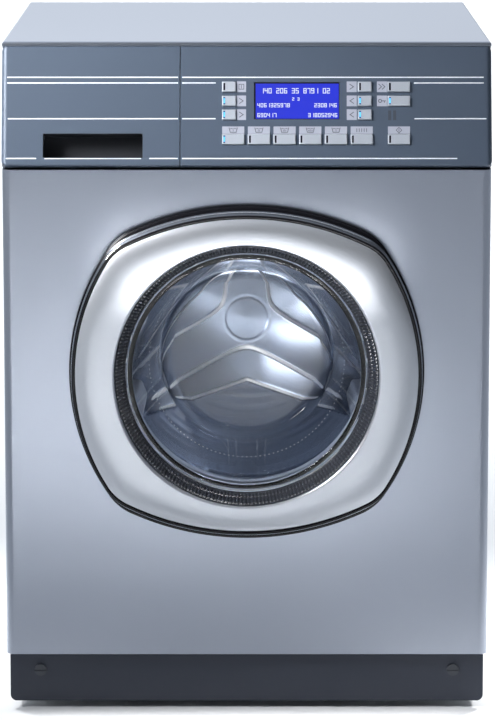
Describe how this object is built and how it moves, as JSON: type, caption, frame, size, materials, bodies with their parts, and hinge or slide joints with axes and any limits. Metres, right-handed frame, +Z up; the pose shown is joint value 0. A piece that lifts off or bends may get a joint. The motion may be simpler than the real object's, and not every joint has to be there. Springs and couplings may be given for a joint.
{
  "type": "front-loading washing machine",
  "caption": "Free-standing washing machine with an inclined control fascia, a blue display, a detergent drawer and a chrome porthole door with a glass bowl in front of a spinning drum",
  "frame": {"origin": "centre of the footprint, on the floor", "axes": "+X to the right of someone facing the door, +Y to the back, +Z up"},
  "size_m": [0.6, 0.658, 0.836],
  "materials": {
    "body_paint": "satin silver paint",
    "galvanised": "zinc coated",
    "fascia_plastic": "satin grey-blue plastic",
    "key_plastic": "silver plastic",
    "plinth_plastic": "dark grey",
    "display": "blue lit display window",
    "door_chrome": "satin chrome plating",
    "frame_plastic": "black",
    "bowl_glass": "clear",
    "seal_rubber": "dark grey rubber",
    "white_plastic": "off white",
    "tub_plastic": "filled plastic",
    "stainless": "stainless steel",
    "concrete": "cast concrete",
    "cast_alloy": "as cast",
    "steel": "ground steel",
    "motor_iron": "black paint",
    "black_plastic": "black"
  },
  "bodies": {
    "cabinet": {"side_panel_left": "body_paint", "side_panel_right": "body_paint", "rear_panel": "galvanised", "base_frame": "galvanised", "levelling_feet": "black_plastic", "top_panel": "body_paint", "front_panel": "body_paint", "plinth": "plinth_plastic", "control_fascia": "fascia_plastic", "display_module": "display", "drawer_housing": "white_plastic", "door_lock": "frame_plastic", "hinge_bracket": "galvanised", "hinge_pin": "galvanised", "door_gasket": "seal_rubber", "damper_cylinders": "galvanised", "drain_pump": "white_plastic", "drain_hose": "seal_rubber", "inlet_valve": "white_plastic", "mains_inlet": "black_plastic"},
    "drawer": {"drawer_front": "fascia_plastic", "drawer_tray": "white_plastic"},
    "door": {"door_bezel": "door_chrome", "door_frame": "frame_plastic", "door_glass": "bowl_glass", "door_hook": "frame_plastic"},
    "tub": {"tub_front": "tub_plastic", "tub_rear": "tub_plastic", "counterweights": "concrete", "heater": "stainless", "shaft_bearings": "steel", "motor": "motor_iron", "drive_belt": "seal_rubber", "damper_rods": "galvanised", "suspension_springs": "galvanised", "sump_hose": "seal_rubber", "dispenser_hose": "seal_rubber"},
    "drum_assembly": {"drum": "stainless", "drum_lifters": "stainless", "drum_spider": "cast_alloy", "drum_pulley": "cast_alloy"},
    "rotor": {"motor_rotor": "steel"},
    "filter": {"pump_filter": "white_plastic"},
    "fastener_left": {"plinth_fastener_left": "galvanised"},
    "fastener_right": {"plinth_fastener_right": "galvanised"},
    "key_left_1_body": {"key_left_1": "key_plastic"},
    "key_left_2_body": {"key_left_2": "key_plastic"},
    "key_left_3_body": {"key_left_3": "key_plastic"},
    "key_right_1_body": {"key_right_1": "key_plastic"},
    "key_right_2_body": {"key_right_2": "key_plastic"},
    "key_right_3_body": {"key_right_3": "key_plastic"},
    "key_skip_body": {"key_skip": "key_plastic"},
    "key_door_body": {"key_door": "key_plastic"},
    "key_program_1_body": {"key_program_1": "key_plastic"},
    "key_program_2_body": {"key_program_2": "key_plastic"},
    "key_program_3_body": {"key_program_3": "key_plastic"},
    "key_program_4_body": {"key_program_4": "key_plastic"},
    "key_program_5_body": {"key_program_5": "key_plastic"},
    "key_program_6_body": {"key_program_6": "key_plastic"},
    "key_start_body": {"key_start": "key_plastic"}
  },
  "joints": [
    {"name": "door_hinge", "type": "hinge", "parent": "cabinet", "child": "door", "pos_m": [-0.206, -0.309, 0.43], "axis": [0, 0, -1], "range_deg": [0, 110]},
    {"name": "drawer_slide", "type": "slide", "parent": "cabinet", "child": "drawer", "axis": [0, -1, 0], "range_m": [0, 0.2]},
    {"name": "tub_bounce", "type": "slide", "parent": "cabinet", "child": "tub", "axis": [0, 0, 1], "range_m": [-0.008, 0.008], "stiffness_N_per_m": 20000, "springref_m": 0.02145, "deforming": ["suspension_springs", "sump_hose", "dispenser_hose"]},
    {"name": "drum_spin", "type": "hinge", "parent": "tub", "child": "drum_assembly", "pos_m": [0, -0.054, 0.43], "axis": [0, 1, 0], "continuous": true},
    {"name": "rotor_spin", "type": "hinge", "parent": "tub", "child": "rotor", "pos_m": [0.11, 0.129, 0.118], "axis": [0, 1, 0], "continuous": true},
    {"name": "filter_turn", "type": "hinge", "parent": "cabinet", "child": "filter", "pos_m": [-0.12, -0.251, 0.05], "axis": [0, -1, 0], "range_deg": [0, 90]},
    {"name": "fastener_left_turn", "type": "hinge", "parent": "cabinet", "child": "fastener_left", "pos_m": [-0.258, -0.283, 0.049], "axis": [0, -1, 0], "range_deg": [0, 90]},
    {"name": "fastener_right_turn", "type": "hinge", "parent": "cabinet", "child": "fastener_right", "pos_m": [0.258, -0.283, 0.049], "axis": [0, -1, 0], "range_deg": [0, 90]},
    {"name": "key_left_1_press", "type": "slide", "parent": "cabinet", "child": "key_left_1_body", "axis": [0, 0.9648, -0.2631], "range_m": [0, 0.0012], "stiffness_N_per_m": 800},
    {"name": "key_left_2_press", "type": "slide", "parent": "cabinet", "child": "key_left_2_body", "axis": [0, 0.9648, -0.2631], "range_m": [0, 0.0012], "stiffness_N_per_m": 800},
    {"name": "key_left_3_press", "type": "slide", "parent": "cabinet", "child": "key_left_3_body", "axis": [0, 0.9648, -0.2631], "range_m": [0, 0.0012], "stiffness_N_per_m": 800},
    {"name": "key_right_1_press", "type": "slide", "parent": "cabinet", "child": "key_right_1_body", "axis": [0, 0.9648, -0.2631], "range_m": [0, 0.0012], "stiffness_N_per_m": 800},
    {"name": "key_right_2_press", "type": "slide", "parent": "cabinet", "child": "key_right_2_body", "axis": [0, 0.9648, -0.2631], "range_m": [0, 0.0012], "stiffness_N_per_m": 800},
    {"name": "key_right_3_press", "type": "slide", "parent": "cabinet", "child": "key_right_3_body", "axis": [0, 0.9648, -0.2631], "range_m": [0, 0.0012], "stiffness_N_per_m": 800},
    {"name": "key_skip_press", "type": "slide", "parent": "cabinet", "child": "key_skip_body", "axis": [0, 0.9648, -0.2631], "range_m": [0, 0.0012], "stiffness_N_per_m": 800},
    {"name": "key_door_press", "type": "slide", "parent": "cabinet", "child": "key_door_body", "axis": [0, 0.9648, -0.2631], "range_m": [0, 0.0012], "stiffness_N_per_m": 800},
    {"name": "key_program_1_press", "type": "slide", "parent": "cabinet", "child": "key_program_1_body", "axis": [0, 0.9648, -0.2631], "range_m": [0, 0.0012], "stiffness_N_per_m": 800},
    {"name": "key_program_2_press", "type": "slide", "parent": "cabinet", "child": "key_program_2_body", "axis": [0, 0.9648, -0.2631], "range_m": [0, 0.0012], "stiffness_N_per_m": 800},
    {"name": "key_program_3_press", "type": "slide", "parent": "cabinet", "child": "key_program_3_body", "axis": [0, 0.9648, -0.2631], "range_m": [0, 0.0012], "stiffness_N_per_m": 800},
    {"name": "key_program_4_press", "type": "slide", "parent": "cabinet", "child": "key_program_4_body", "axis": [0, 0.9648, -0.2631], "range_m": [0, 0.0012], "stiffness_N_per_m": 800},
    {"name": "key_program_5_press", "type": "slide", "parent": "cabinet", "child": "key_program_5_body", "axis": [0, 0.9648, -0.2631], "range_m": [0, 0.0012], "stiffness_N_per_m": 800},
    {"name": "key_program_6_press", "type": "slide", "parent": "cabinet", "child": "key_program_6_body", "axis": [0, 0.9648, -0.2631], "range_m": [0, 0.0012], "stiffness_N_per_m": 800},
    {"name": "key_start_press", "type": "slide", "parent": "cabinet", "child": "key_start_body", "axis": [0, 0.9648, -0.2631], "range_m": [0, 0.0012], "stiffness_N_per_m": 800}
  ],
  "couplings": [
    {"joint": "rotor_spin", "follows": "drum_spin", "ratio": 12.727}
  ]
}
